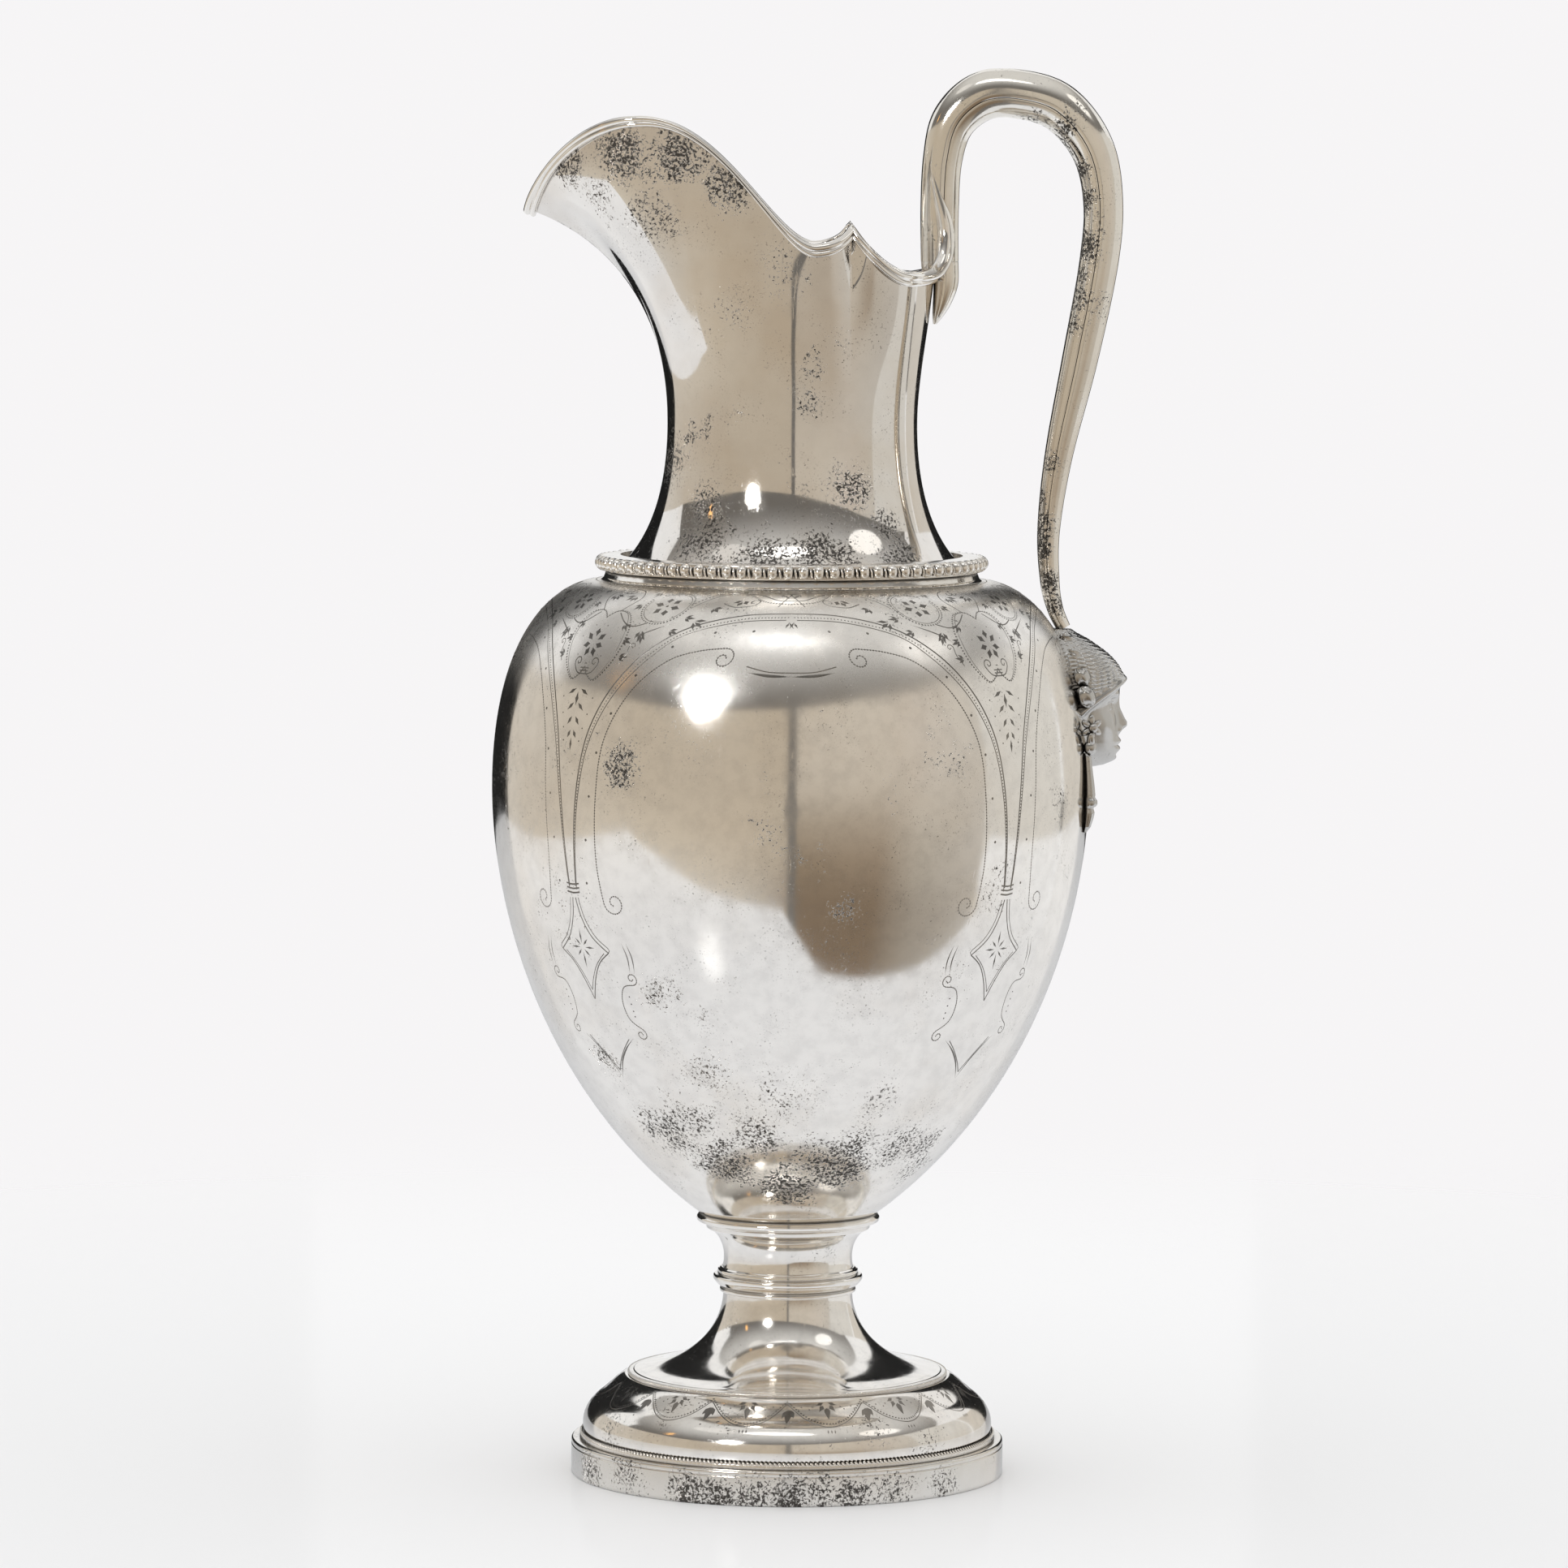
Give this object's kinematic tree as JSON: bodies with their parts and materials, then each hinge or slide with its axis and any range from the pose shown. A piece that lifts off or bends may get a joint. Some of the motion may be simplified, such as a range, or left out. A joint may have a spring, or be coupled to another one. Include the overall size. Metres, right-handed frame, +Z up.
{
  "type": "water pitcher",
  "caption": "Footed silver ewer with an engraved egg-shaped body, beaded shoulder, arched pouring lip, swan-neck handle and a cast mask.",
  "frame": {"origin": "on the body's axis, at the foot's lower edge, where the pitcher stands", "axes": "+Z is up along the body's axis, +X points to the handle, -X to the pouring spout"},
  "size_m": [0.1625, 0.1528, 0.3604],
  "materials": {
    "raised_silver": "polished, lightly tarnished",
    "drawn_silver": "polished",
    "milled_silver": "milled, dark in its recesses",
    "handle_silver": "polished, tarnished along its seams",
    "cast_silver": "cast and chased, grey in its recesses"
  },
  "bodies": {
    "root": {"foot_rim_band": "drawn_silver", "lower_milled_wire": "milled_silver", "foot_dome": "raised_silver", "upper_milled_wire": "milled_silver", "foot_trumpet": "raised_silver", "stem_knop_ring": "drawn_silver", "stem_spool": "raised_silver", "spool_flange_ring": "drawn_silver", "body_shell": "raised_silver", "shoulder_collar": "drawn_silver", "beaded_ring": "milled_silver", "neck_spout": "raised_silver", "lip_wire_near": "drawn_silver", "lip_wire_far": "drawn_silver", "handle_outer_shell": "handle_silver", "handle_inner_shell": "handle_silver", "handle_tongue": "handle_silver", "mask_casting": "cast_silver", "tassel_near": "cast_silver", "tassel_far": "cast_silver"}
  },
  "joints": []
}
